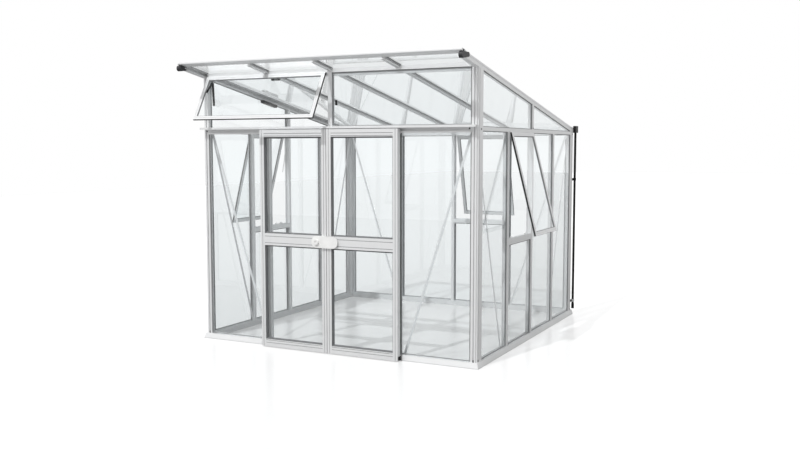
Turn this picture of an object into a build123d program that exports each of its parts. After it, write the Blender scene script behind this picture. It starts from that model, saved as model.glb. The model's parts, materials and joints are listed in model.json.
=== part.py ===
"""Free-standing mono-pitch greenhouse of aluminium profiles and clear glass.

X runs along the front wall, Y from the front to the back, and Z up.  The origin is on
the ground at the middle of the doorway, in the outer plane of the front wall.
The front wall is the high one.  It carries a pair of sliding door leaves.
"""
from build123d import *

import math
import os

# Overall sizes
width = 2560.0
depth = 2560.0
front_height = 2323.0
back_height = 1871.0
overhang = 325.0
bay = 614.0

# Sill all round the foot of the walls
sill_top = 38.0
sill_projection = 20.0
sill_toe = 6.0
sill_shoulder = 8.0
outer_lip_height = 7.0
inner_lip_height = 12.0
inner_lip_thickness = 4.0

# Wall profiles
profile_depth = 44.0
plate_thickness = 6.0
bar_face = 38.0
bar_cap_rise = 5.0
bar_web = 14.0
bar_inner_face = 30.0
eaves_drop = 65.0
transom_face = 30.0
transom_web = 8.0

# Corner posts
post_front_leg = 53.0
post_back_leg = 74.0
post_side_leg = 100.0
post_notch = 11.0
post_nose = 24.0
post_groove_width = 10.0
post_groove_depth = 12.0

# Glass
glass_thickness = 4.0
glass_edge_gap = 3.0
glass_cover = 8.0

# Front transom with its door track
front_transom_face = 44.0
canopy_thickness = 6.0
canopy_reach = 55.0
canopy_lip_thickness = 4.0
canopy_lip_height = 18.0
track_thickness = 4.0
track_reach = 18.0
track_lip_height = 14.0

# Door leaves
leaf_lap = 29.0
leaf_thickness = 47.0
leaf_bottom = 5.0
leaf_headroom = 6.0
leaf_wall_gap = 25.5
meeting_gap = 6.0
stile_width = 41.0
top_rail_height = 60.0
bottom_rail_height = 62.0
mid_rail_bottom = 866.0
mid_rail_height = 100.0
bottom_rail_lines = (0.53, 0.87)
mid_rail_lines = (0.20, 0.75)
top_rail_lines = (0.13, 0.47)
leaf_groove_width = 5.0
leaf_groove_depth = 4.0
roller_inset = 110.0
roller_radius = 9.0
roller_flange = 2.5
roller_flange_width = 2.5
roller_side_gap = 1.0
roller_axle_radius = 4.0
running_gap = 0.3
handle_length = 244.0
handle_height = 97.0
handle_thickness = 9.0
handle_standoff = 9.0
handle_shift = 10.0
handle_setback = 3.0
keeper_width = 28.0
keeper_height = 64.0
keeper_thickness = 3.0
keeper_slot = 8.0
knob_radius = 22.0
knob_rise = 13.0
knob_recess = 12.0
knob_recess_depth = 5.0

# Roof
roof_cap_thickness = 5.0
roof_cap_width = 44.0
roof_shelf_width = 36.0
roof_shelf_thickness = 4.0
roof_bar_depth = 30.0
roof_bar_foot = 38.0
roof_groove_width = 8.0
roof_groove_depth = 3.0
rake_depth = 45.0
rake_wall = 10.0
rake_line_drop = 15.0
rake_line_size = 3.0
roof_glass_drip = 24.0
front_rail_depth = 86.0
front_rail_rise = 6.0
front_rail_drop = 13.0
front_rail_radius = 6.0
cap_overlap = 24.0
cap_reach = 7.0
cap_front_radius = 24.0
cap_rear_radius = 17.0
cap_spread = 97.0
cap_front_lead = 7.0
cap_front_hang = 40.0
cap_rear_hang = 13.5
cap_fin_height = 16.0
cap_fin_width = 13.0
cap_fin_tip = 7.0
cap_fin_place = 10.0

# Front top beam
beam_lip = 12.0
top_beam_depth = 70.0
head_cover = 5.0

# Opening windows
sill_rail_bottom = 880.0
sill_rail_face = 50.0
sash_side_gap = 5.0
sash_foot_gap = 6.0
sash_rail = 30.0
sash_thickness = 18.0
sash_line_width = 3.0
sash_line_depth = 2.0
sash_angle = 14.5
hinge_bead_radius = 4.0
hinge_height = 4.0
hinge_neck = 10.0
hinge_neck_thickness = 3.4
clerestory_side_gap = 12.0
clerestory_sash_angle = 29.0
seat_gap = 0.3

# Braces
brace_width = 20.0
brace_thickness = 3.0
brace_corner_gap = 0.3
brace_foot_shift = 40.0

# Gutter and downpipe
gutter_width = 80.0
gutter_wall = 4.0
gutter_drop = 40.0
gutter_back_height = 24.0
gutter_front_height = 57.0
gutter_cap_length = 27.0
gutter_cap_wall = 3.5
gutter_cap_rim = 5.0
pipe_radius = 11.5
pipe_wall = 2.0
pipe_foot = 52.0
shoe_height = 50.0
shoe_rim = 2.5
clip_height = 24.0
clip_wall = 3.0
clip_foot = 22.0
clip_levels = (121.0, 1350.0)

half_width = width / 2
half_depth = depth / 2
bar_places = (-bay, 0.0, bay)
transom_bottom = back_height - eaves_drop
transom_top = transom_bottom + transom_face
front_transom_top = transom_bottom + front_transom_face
top_beam_bottom = front_height - roof_bar_depth - beam_lip
gutter_bottom = back_height - gutter_drop
roof_slope = (front_height - back_height) / depth
roof_pitch = math.degrees(math.atan(roof_slope))
pitch_cosine = math.cos(math.atan(roof_slope))
rail_front = -overhang / pitch_cosine
rail_back = rail_front + front_rail_depth
leaf_width = bay + leaf_lap - meeting_gap / 2
leaf_top = front_transom_top - canopy_lip_height - leaf_headroom

parts = {}
uncut_posts = {}

# Each wall has a frame of its own: x along the wall, y inwards from its outer face, z up
front_wall = Plane(origin=(0, 0, 0), x_dir=(1, 0, 0), z_dir=(0, 0, 1))
back_wall = Plane(origin=(0, depth, 0), x_dir=(-1, 0, 0), z_dir=(0, 0, 1))
right_wall = Plane(origin=(half_width, half_depth, 0), x_dir=(0, 1, 0), z_dir=(0, 0, 1))
left_wall = Plane(origin=(-half_width, half_depth, 0), x_dir=(0, -1, 0), z_dir=(0, 0, 1))


def block(x0, x1, y0, y1, z0, z1):
    """A box from its lowest to its highest corner."""
    return Pos((x0 + x1) / 2, (y0 + y1) / 2, (z0 + z1) / 2) * Box(x1 - x0, y1 - y0, z1 - z0)


def upright(points, bottom, top):
    """A plan outline carried straight up."""
    return extrude(Plane.XY.offset(bottom) * make_face(Polyline(*points, close=True)), amount=top - bottom)


def along_x(points, start, end):
    """An outline of (y, z) points carried along X."""
    plane = Plane(origin=(start, 0, 0), x_dir=(0, 1, 0), z_dir=(1, 0, 0))
    return extrude(plane * make_face(Polyline(*points, close=True)), amount=end - start)


def along_y(points, start, end):
    """An outline of (x, z) points carried along Y."""
    plane = Plane(origin=(0, start, 0), x_dir=(-1, 0, 0), z_dir=(0, 1, 0))
    mirrored = [(-x, z) for x, z in points]
    return extrude(plane * make_face(Polyline(*mirrored, close=True)), amount=end - start)


def roof_top(y):
    """Height of the roof's upper plane at a depth behind the front wall."""
    return front_height - roof_slope * y


def above_roof(drop):
    """All the space above the roof's upper plane, lowered square to itself by drop."""
    reach = 2 * depth
    slab = Pos(0, 0, reach / 2 - drop) * Box(2 * width, 2 * reach, reach)
    return Pos(0, 0, front_height) * Rot(-roof_pitch, 0, 0) * slab


def roof_plane(start_x, along):
    """Section plane of the roof: x down the slope from the front wall, y square to it, out along X."""
    angle = math.radians(roof_pitch)
    lifted = (start_x, along * math.cos(angle), front_height - along * math.sin(angle))
    return Plane(origin=lifted, x_dir=(0, math.cos(angle), -math.sin(angle)), z_dir=(1, 0, 0))


def joined(pieces):
    """Pieces that share a node, as one compound."""
    solids = []
    for piece in pieces:
        solids.extend(piece.solids())
    return Compound(children=solids) if len(solids) > 1 else solids[0]


def bar_outline(face, inner_face, web):
    """I-section of a glazing bar: outer plate, web and inner plate."""
    inner = profile_depth - plate_thickness
    right = [
        (face / 2, 0),
        (face / 2, plate_thickness),
        (web / 2, plate_thickness),
        (web / 2, inner),
        (inner_face / 2, inner),
        (inner_face / 2, profile_depth),
    ]
    return right + [(-x, y) for x, y in reversed(right)]


def wall_bar(wall, place, bottom, top):
    """One upright glazing bar of a wall."""
    shifted = [(place + x, y) for x, y in bar_outline(bar_face, bar_inner_face, bar_web)]
    return wall.location * upright(shifted, bottom, top)


def capped_bar(wall, place, bottom, top, cap_bottom):
    """An upright glazing bar with the raised cap that clamps the glass."""
    cap = block(place - bar_face / 2, place + bar_face / 2, -bar_cap_rise, 0, cap_bottom, top)
    return wall_bar(wall, place, bottom, top) + wall.location * cap


def rail_outline(bottom, face):
    """Lying I-section of a transom, as (y, z) points."""
    middle = bottom + face / 2
    return [(y, middle + x) for x, y in bar_outline(face, face - glass_cover, transom_web)]


def rail_between(outline, start, end, set_back):
    """A rail between two uprights, its outer plate set back at both ends for their own plates."""
    rail = along_x(outline, start, end)
    lowest = min(z for y, z in outline)
    highest = max(z for y, z in outline)
    rail -= block(start, start + set_back, 0, plate_thickness, lowest, highest)
    rail -= block(end - set_back, end, 0, plate_thickness, lowest, highest)
    return rail


def pane(wall, x0, x1, bottom, top):
    """A pane of glass held behind the outer plates."""
    return wall.location * block(x0, x1, plate_thickness, plate_thickness + glass_thickness, bottom, top)


def make_sills():
    """Four mitred sill rails with a sloping outer face and two lips that hold the walls."""
    outline = [
        (-sill_projection, 0),
        (profile_depth + inner_lip_thickness, 0),
        (profile_depth + inner_lip_thickness, sill_top + inner_lip_height),
        (profile_depth, sill_top + inner_lip_height),
        (profile_depth, sill_top),
        (0, sill_top),
        (0, sill_top + outer_lip_height),
        (-sill_shoulder, sill_top + outer_lip_height),
        (-sill_projection, sill_toe),
    ]
    rails = {}
    for name, wall, length in (
        ("front", front_wall, width),
        ("back", back_wall, width),
        ("left", left_wall, depth),
        ("right", right_wall, depth),
    ):
        half = length / 2
        inside = profile_depth + inner_lip_thickness
        mitre = upright(
            [
                (-half - sill_projection, -sill_projection),
                (half + sill_projection, -sill_projection),
                (half - inside, inside),
                (-half + inside, inside),
            ],
            0,
            sill_top + inner_lip_height,
        )
        run = along_x(outline, -half - sill_projection, half + sill_projection)
        rails[name] = wall.location * (run & mitre)
    parts["base_front"] = rails["front"]
    parts["base_back"] = rails["back"]
    parts["base_sides"] = joined([rails["left"], rails["right"]])


def post_outline(front_leg):
    """Section of a corner post, from its outer corner along the front and the side."""
    groove_end = post_nose + post_groove_width
    return [
        (post_notch, 0),
        (post_nose, 0),
        (post_nose, post_groove_depth),
        (groove_end, post_groove_depth),
        (groove_end, 0),
        (front_leg, 0),
        (front_leg, plate_thickness),
        (profile_depth, plate_thickness),
        (profile_depth, profile_depth),
        (plate_thickness, profile_depth),
        (plate_thickness, post_side_leg),
        (0, post_side_leg),
        (0, groove_end),
        (post_groove_depth, groove_end),
        (post_groove_depth, post_nose),
        (0, post_nose),
        (0, post_notch),
        (post_notch, post_notch),
    ]


def make_corner_posts():
    """Four posts, each cut off under the sloping rake rail."""
    under_rake = above_roof(rake_depth)
    for name, side, at_front, leg in (
        ("front_left", -1, True, post_front_leg),
        ("front_right", 1, True, post_front_leg),
        ("back_left", -1, False, post_back_leg),
        ("back_right", 1, False, post_back_leg),
    ):
        points = []
        for u, v in post_outline(leg):
            points.append((side * (half_width - u), v if at_front else depth - v))
        uncut_posts[name] = upright(points, sill_top, front_height)
        parts["corner_post_" + name] = uncut_posts[name] - under_rake


def make_transoms():
    """Rails at door-head height: the front one is the door track, the back one the eaves beam."""
    outline = rail_outline(transom_bottom, front_transom_face)
    inside = half_width - profile_depth
    body = rail_between(outline, -inside, inside, post_front_leg - profile_depth)
    canopy = along_x(
        [
            (0, front_transom_top),
            (-canopy_reach, front_transom_top),
            (-canopy_reach, front_transom_top - canopy_lip_height),
            (-canopy_reach + canopy_lip_thickness, front_transom_top - canopy_lip_height),
            (-canopy_reach + canopy_lip_thickness, front_transom_top - canopy_thickness),
            (0, front_transom_top - canopy_thickness),
        ],
        -half_width,
        half_width,
    )
    track_bottom = transom_bottom - track_lip_height
    track = along_x(
        [
            (plate_thickness, transom_bottom),
            (0, transom_bottom),
            (0, track_bottom + track_thickness),
            (-track_reach + track_thickness, track_bottom + track_thickness),
            (-track_reach + track_thickness, transom_bottom),
            (-track_reach, transom_bottom),
            (-track_reach, track_bottom),
            (plate_thickness, track_bottom),
        ],
        -half_width + post_front_leg,
        half_width - post_front_leg,
    )
    parts["front_transom"] = (body + canopy + track).solid()

    side_outline = rail_outline(transom_bottom, transom_face)
    inside = half_depth - profile_depth
    side = rail_between(side_outline, -inside, inside, post_side_leg - profile_depth)
    parts["side_transom_left"] = left_wall.location * side
    parts["side_transom_right"] = right_wall.location * side


def roof_bar(x):
    """One sloping glazing bar: clamping cap, glass shelf, web and a grooved foot."""
    glass_top = -roof_cap_thickness
    shelf_top = glass_top - glass_thickness
    shelf_bottom = shelf_top - roof_shelf_thickness
    foot_top = -roof_bar_depth + plate_thickness
    right = [
        (roof_cap_width / 2, 0),
        (roof_cap_width / 2, glass_top),
        (bar_web / 2, glass_top),
        (bar_web / 2, shelf_top),
        (roof_shelf_width / 2, shelf_top),
        (roof_shelf_width / 2, shelf_bottom),
        (bar_web / 2, shelf_bottom),
        (bar_web / 2, foot_top),
        (roof_bar_foot / 2, foot_top),
        (roof_bar_foot / 2, -roof_bar_depth),
        (roof_groove_width / 2, -roof_bar_depth),
        (roof_groove_width / 2, -roof_bar_depth + roof_groove_depth),
    ]
    outline = right + [(-u, v) for u, v in reversed(right)]
    return on_slope([(x + u, v) for u, v in outline], rail_back, depth)


def on_slope(outline, start, back_end):
    """An outline of (x, height over the roof plane) points carried down the slope, cut upright at the back."""
    run = along_y(outline, start, 2 * depth)
    run = Pos(0, 0, front_height) * Rot(-roof_pitch, 0, 0) * run
    return run & block(-width, width, -2 * overhang, back_end, 0, 2 * front_height)


def make_rakes():
    """The two sloping edge rails: a glass groove over an open channel."""
    shelf_top = -roof_cap_thickness - glass_thickness
    shelf_bottom = shelf_top - roof_shelf_thickness
    lip = profile_depth + glass_cover
    line_top = -rake_line_drop + rake_line_size / 2
    line_bottom = -rake_line_drop - rake_line_size / 2
    outline = [
        (0, 0),
        (lip, 0),
        (lip, -roof_cap_thickness),
        (profile_depth, -roof_cap_thickness),
        (profile_depth, shelf_top),
        (lip, shelf_top),
        (lip, shelf_bottom),
        (rake_wall, shelf_bottom),
        (rake_wall, -rake_depth + plate_thickness),
        (profile_depth, -rake_depth + plate_thickness),
        (profile_depth, -rake_depth),
        (0, -rake_depth),
        (0, line_bottom),
        (rake_line_size, line_bottom),
        (rake_line_size, line_top),
        (0, line_top),
    ]
    for name, side in (("left", -1), ("right", 1)):
        points = [(side * (half_width - u), v) for u, v in outline]
        parts["rake_" + name] = on_slope(points, rail_back, depth)


def make_roof_glass():
    """Four panes between the rakes and the bars, from inside the front rail to past the back wall."""
    edges = [-half_width + profile_depth + glass_edge_gap]
    for x in bar_places:
        edges.append(x - bar_web / 2 - glass_edge_gap)
        edges.append(x + bar_web / 2 + glass_edge_gap)
    edges.append(half_width - profile_depth - glass_edge_gap)
    top = -roof_cap_thickness
    panes = []
    for x0, x1 in zip(edges[::2], edges[1::2]):
        outline = [(x0, top), (x1, top), (x1, top - glass_thickness), (x0, top - glass_thickness)]
        panes.append(on_slope(outline, rail_back - glass_cover, depth + roof_glass_drip))
    parts["roof_glass"] = joined(panes)


def make_front_rail():
    """The flat rail with rounded edges that closes the front edge of the roof and takes its glass."""
    height = front_rail_rise + front_rail_drop
    middle = (front_rail_rise - front_rail_drop) / 2
    section = RectangleRounded(front_rail_depth, height, front_rail_radius)
    place = Pos(front_rail_depth / 2, middle)
    rail = extrude(roof_plane(-half_width, rail_front) * place * section, amount=width)
    slot_depth = glass_cover + glass_edge_gap
    glass_top = -roof_cap_thickness
    rail -= slope_box(rail_back - slot_depth, slot_depth, glass_top - glass_thickness, glass_top)
    parts["roof_front_rail"] = rail


def slope_box(along, length, bottom, top):
    """A box between the side walls, set on the roof plane: along and length run down the slope."""
    plane = roof_plane(-half_width, along)
    return plane.location * block(0, length, bottom, top, 0, width)


def make_rail_caps():
    """Moulded caps that hang on the front rail's ends: two round lobes and an upright fin."""
    front_y = -overhang - cap_front_lead + cap_front_radius
    rear_y = front_y + cap_spread
    front_z = roof_top(front_y) - cap_front_hang
    rear_z = roof_top(rear_y) - cap_rear_hang
    lobes = make_hull(
        [
            Pos(front_y, front_z) * Circle(cap_front_radius).edge(),
            Pos(rear_y, rear_z) * Circle(cap_rear_radius).edge(),
        ]
    )
    fin_y = front_y + cap_fin_place
    fin_top = front_z + cap_front_radius + cap_fin_height
    fin = make_face(
        Polyline(
            (fin_y - cap_fin_width, front_z),
            (fin_y + cap_fin_width, front_z),
            (fin_y + cap_fin_tip / 2, fin_top),
            (fin_y - cap_fin_tip / 2, fin_top),
            close=True,
        )
    )
    rail_space = slope_box(rail_front, front_rail_depth, -front_rail_drop, front_rail_rise)
    rake_space = slope_box(rail_back, depth, -rake_depth, 0)
    caps = []
    for start in (-half_width - cap_reach, half_width - cap_overlap):
        face = Plane(origin=(start, 0, 0), x_dir=(0, 1, 0), z_dir=(1, 0, 0))
        cap = extrude(face * (lobes + fin), amount=cap_overlap + cap_reach)
        caps.append((cap - rail_space - rake_space).solids().sort_by(SortBy.VOLUME)[-1])
    parts["front_rail_caps"] = joined(caps)


def make_roof():
    """Rake rails, glazing bars, glass and the front edge rail with its end caps."""
    make_rakes()
    parts["roof_bars"] = joined([roof_bar(x) for x in bar_places])
    make_roof_glass()
    make_front_rail()
    make_rail_caps()


def make_beams():
    """Front top beam and back eaves beam, notched round the roof bars that cross them."""
    body_bottom = front_height - top_beam_depth
    inside = half_width - profile_depth
    front = block(-inside, inside, 0, profile_depth, body_bottom, front_height)
    front -= block(-inside, inside, 0, plate_thickness + glass_thickness, body_bottom, top_beam_bottom)
    front -= pane_groove(0, top_beam_bottom, 1, head_cover)
    parts["front_top_beam"] = under_roof(front, ("front_left", "front_right"))

    back = block(-inside, inside, depth - profile_depth, depth, transom_bottom, front_height)
    back -= pane_groove(depth, transom_bottom, -1, glass_cover)
    parts["back_eaves_beam"] = under_roof(back, ("back_left", "back_right"))

    mullion = capped_bar(front_wall, 0, front_transom_top, top_beam_bottom, front_transom_top)
    mullion -= block(-bar_face, bar_face, plate_thickness, profile_depth, body_bottom, top_beam_bottom)
    parts["clerestory_mullion"] = mullion


def under_roof(beam, posts):
    """A beam cut to the underside of the roof and round the bars, rakes and posts that it meets."""
    beam = beam - above_roof(roof_cap_thickness + glass_thickness)
    for solid in parts["roof_bars"].solids():
        beam = beam - solid
    beam = beam - parts["rake_left"] - parts["rake_right"]
    for name in posts:
        beam = beam - uncut_posts[name]
    return beam.solids().sort_by(SortBy.VOLUME)[-1]


def pane_groove(face, bottom, inwards, cover):
    """A groove in a beam's underside that takes the head of the glass below it."""
    outer = face + inwards * plate_thickness
    inner = outer + inwards * glass_thickness
    reach = cover + glass_edge_gap
    return block(-half_width, half_width, min(outer, inner), max(outer, inner), bottom, bottom + reach)


def make_wall_bars():
    """Upright bars of each wall, the door posts and the gable bars."""
    over_lip = sill_top + outer_lip_height
    for name, wall in (("left", left_wall), ("right", right_wall), ("back", back_wall)):
        parts["wall_bars_" + name] = joined(
            [capped_bar(wall, place, sill_top, transom_bottom, over_lip) for place in bar_places]
        )
    track_bottom = transom_bottom - track_lip_height
    parts["door_posts"] = joined(
        [wall_bar(front_wall, place, sill_top, track_bottom) for place in (-bay, bay)]
    )
    under_rake = above_roof(rake_depth)
    gable = []
    for wall in (left_wall, right_wall):
        gable.append(capped_bar(wall, 0, transom_top, front_height, transom_top) - under_rake)
    parts["gable_bars"] = joined(gable)


def end_edge(length, leg):
    """Distance from the wall's middle to the glass edge behind a corner post's flange."""
    return length / 2 - max(leg - glass_cover, profile_depth + glass_edge_gap)


def bay_edges(length, leg):
    """The left and right edges of the glass in the four bays of a wall."""
    half_web = bar_web / 2 + glass_edge_gap
    edges = [-end_edge(length, leg)]
    for place in bar_places:
        edges.extend((place - half_web, place + half_web))
    edges.append(end_edge(length, leg))
    return list(zip(edges[::2], edges[1::2]))


def make_wall_glass():
    """Fixed panes of the four walls, leaving the doorway and the window openings free."""
    foot = sill_top + glass_edge_gap
    head = transom_bottom + glass_cover
    low_head = sill_rail_bottom + glass_cover
    front_bays = bay_edges(width, post_front_leg)
    front = [pane(front_wall, x0, x1, foot, head) for x0, x1 in (front_bays[0], front_bays[-1])]
    x0 = bar_web / 2 + glass_edge_gap
    x1 = end_edge(width, post_front_leg)
    front.append(pane(front_wall, x0, x1, front_transom_top - glass_cover, top_beam_bottom + head_cover))
    parts["front_glass"] = joined(front)

    for name, wall, length, leg, window in (
        ("left", left_wall, depth, post_side_leg, 2),
        ("right", right_wall, depth, post_side_leg, 1),
        ("back", back_wall, width, post_back_leg, 1),
    ):
        panes = []
        for index, (x0, x1) in enumerate(bay_edges(length, leg)):
            panes.append(pane(wall, x0, x1, foot, low_head if index == window else head))
        parts[name + "_glass"] = joined(panes)


def make_gable_glass():
    """Two panes over each side transom, with their upper edges along the rake."""
    y_front = half_depth - end_edge(depth, post_side_leg)
    y_back = depth - y_front
    half_web = bar_web / 2 + glass_edge_gap
    foot = transom_top - glass_cover
    drop = rake_depth / pitch_cosine
    panes = []
    for side in (-1, 1):
        outer = side * (half_width - plate_thickness)
        inner = outer - side * glass_thickness
        for y0, y1 in ((y_front, half_depth - half_web), (half_depth + half_web, y_back)):
            points = [
                (y0, foot),
                (y1, foot),
                (y1, roof_top(y1) - drop),
                (y0, roof_top(y0) - drop),
            ]
            panes.append(along_x(points, min(outer, inner), max(outer, inner)))
    parts["gable_glass"] = joined(panes)


def make_window_sills():
    """A rail under each opening window, between two wall bars."""
    outline = rail_outline(sill_rail_bottom, sill_rail_face)
    inside = bay / 2 - bar_inner_face / 2
    set_back = (bar_face - bar_inner_face) / 2
    rails = []
    for wall, middle in ((left_wall, bay / 2), (right_wall, -bay / 2), (back_wall, -bay / 2)):
        rails.append(wall.location * rail_between(outline, middle - inside, middle + inside, set_back))
    parts["window_sill_rails"] = joined(rails)


def sash_pieces(span, height, middle, hinge_z, angle):
    """Frame and glass of a top-hung window, turned outwards about its hinge bead."""
    half = span / 2
    axis_y = -hinge_bead_radius - seat_gap
    top = hinge_z - hinge_neck
    bottom = top - height
    inner = -seat_gap
    outer = inner - sash_thickness
    frame = block(middle - half, middle + half, outer, inner, bottom, top)
    opening = half - sash_rail
    frame -= block(middle - opening, middle + opening, outer, inner, bottom + sash_rail, top - sash_rail)
    line = sash_rail / 2
    for z in (bottom + line, top - line):
        frame -= block(
            middle - half + line, middle + half - line, outer, outer + sash_line_depth,
            z - sash_line_width / 2, z + sash_line_width / 2,
        )
    for x in (middle - half + line, middle + half - line):
        frame -= block(
            x - sash_line_width / 2, x + sash_line_width / 2, outer, outer + sash_line_depth,
            bottom + line, top - line,
        )
    glass_inner = inner - (sash_thickness - glass_thickness) / 2
    glass = block(
        middle - opening - glass_cover, middle + opening + glass_cover,
        glass_inner - glass_thickness, glass_inner,
        bottom + sash_rail - glass_cover, top - sash_rail + glass_cover,
    )
    frame -= glass
    neck = block(
        middle - half, middle + half, axis_y - hinge_neck_thickness / 2, axis_y + hinge_neck_thickness / 2,
        top - plate_thickness, hinge_z,
    )
    bead = Pos(middle, axis_y, hinge_z) * Rot(0, 90, 0) * Cylinder(hinge_bead_radius, span)
    frame = frame + neck + bead
    turn = Pos(0, axis_y, hinge_z) * Rot(-angle, 0, 0) * Pos(0, -axis_y, -hinge_z)
    return turn * frame, turn * glass


def make_sashes():
    """Four opening windows, each fixed as it stands open."""
    panes = []
    span = bay - bar_face - 2 * sash_side_gap
    hinge_z = transom_bottom + hinge_height
    height = hinge_z - hinge_neck - sash_foot_gap - sill_rail_bottom - sill_rail_face
    for name, wall, middle in (
        ("left", left_wall, bay / 2),
        ("right", right_wall, -bay / 2),
        ("back", back_wall, -bay / 2),
    ):
        frame, glass = sash_pieces(span, height, middle, hinge_z, sash_angle)
        parts[name + "_sash"] = (wall.location * frame).solid()
        panes.append(wall.location * glass)
    left = -half_width + post_front_leg + clerestory_side_gap
    right = -bar_face / 2 - clerestory_side_gap
    hinge_z = top_beam_bottom + hinge_height
    height = hinge_z - hinge_neck - sash_foot_gap - front_transom_top
    frame, glass = sash_pieces(right - left, height, (left + right) / 2, hinge_z, clerestory_sash_angle)
    parts["clerestory_sash"] = frame.solid()
    panes.append(glass)
    parts["sash_glass"] = joined(panes)


def make_braces():
    """A flat diagonal bar in both end bays of each wall, from the transom's end to the sill's inner lip."""
    braces = []
    head_z = transom_bottom + transom_face / 2
    foot_z = sill_top + inner_lip_height
    inner_face = profile_depth + brace_thickness
    inset = inner_face + brace_corner_gap + brace_width / 2
    for wall, length in ((front_wall, width), (back_wall, width), (left_wall, depth), (right_wall, depth)):
        for side in (-1, 1):
            head_x = side * (length / 2 - inset)
            foot_x = side * (bay + brace_foot_shift)
            dx = foot_x - head_x
            dz = foot_z - head_z
            slot = SlotCenterToCenter(math.hypot(dx, dz), brace_width)
            plane = Plane(
                origin=((head_x + foot_x) / 2, profile_depth, (head_z + foot_z) / 2),
                x_dir=(dx, 0, dz),
                z_dir=(0, 1, 0),
            )
            brace = extrude(plane * slot, amount=brace_thickness)
            brace -= block(-length, length, profile_depth, inner_face, 0, foot_z)
            braces.append(wall.location * brace)
    parts["wind_braces"] = joined(braces)


def make_gutter():
    """Rear gutter under the low edge of the roof, its end caps, and the downpipe under the right one."""
    back = depth
    front_lip = gutter_bottom + gutter_front_height
    outline = [
        (back, gutter_bottom),
        (back + gutter_width, gutter_bottom),
        (back + gutter_width, front_lip),
        (back + gutter_width - gutter_wall, front_lip),
        (back + gutter_width - gutter_wall, gutter_bottom + gutter_wall),
        (back + gutter_wall, gutter_bottom + gutter_wall),
        (back + gutter_wall, gutter_bottom + gutter_back_height),
        (back, gutter_bottom + gutter_back_height),
    ]
    parts["rear_gutter"] = along_x(outline, -half_width, half_width)

    cap_bottom = gutter_bottom - gutter_cap_rim
    cap_top = front_lip + gutter_cap_rim
    cap_back = back + gutter_width + gutter_cap_rim
    pipe_x = half_width + (gutter_cap_length - gutter_cap_wall) / 2
    pipe_y = back + gutter_width / 2
    caps = []
    for side in (-1, 1):
        start = half_width if side > 0 else -half_width - gutter_cap_length
        caps.append(block(start, start + gutter_cap_length, back, cap_back, cap_bottom, cap_top))
    caps[1] -= block(
        half_width, half_width + gutter_cap_length - gutter_cap_wall, back + gutter_wall,
        back + gutter_width - gutter_wall, gutter_bottom + gutter_wall, cap_top,
    )
    outlet_reach = 4 * (gutter_cap_rim + gutter_wall)
    caps[1] -= Pos(pipe_x, pipe_y, cap_bottom) * Cylinder(pipe_radius - pipe_wall, outlet_reach)
    parts["gutter_caps"] = joined(caps)

    length = cap_bottom - pipe_foot
    pipe = Pos(pipe_x, pipe_y, pipe_foot + length / 2) * Cylinder(pipe_radius, length)
    pipe += Pos(pipe_x, pipe_y, pipe_foot + shoe_height / 2) * Cylinder(pipe_radius + shoe_rim, shoe_height)
    for level in clip_levels:
        middle = level + clip_height / 2
        pipe += Pos(pipe_x, pipe_y, middle) * Cylinder(pipe_radius + clip_wall, clip_height)
        top = level + clip_height
        pipe += block(half_width - clip_foot, half_width + clip_wall, back, back + clip_wall, level, top)
        pipe += block(half_width - clip_wall, half_width + clip_wall, back, pipe_y, level, top)
    pipe -= Pos(pipe_x, pipe_y, pipe_foot + length / 2) * Cylinder(pipe_radius - pipe_wall, length)
    parts["downpipe"] = pipe.solid()


def leaf_grooves(x0, x1, outer, inner):
    """Shallow lines along the stiles and rails of a leaf, on both of its faces."""
    upper_foot = leaf_top - top_rail_height
    rail_lines = []
    for foot, height, shares in (
        (leaf_bottom, bottom_rail_height, bottom_rail_lines),
        (mid_rail_bottom, mid_rail_height, mid_rail_lines),
        (upper_foot, top_rail_height, top_rail_lines),
    ):
        rail_lines.extend(foot + share * height for share in shares)
    half = leaf_groove_width / 2
    cuts = []
    for y0, y1 in ((outer, outer + leaf_groove_depth), (inner - leaf_groove_depth, inner)):
        for x in (x0 + stile_width / 2, x1 - stile_width / 2):
            cuts.append(block(x - half, x + half, y0, y1, leaf_bottom, leaf_top))
        for z in rail_lines:
            cuts.append(block(x0 + stile_width, x1 - stile_width, y0, y1, z - half, z + half))
    return cuts


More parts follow.
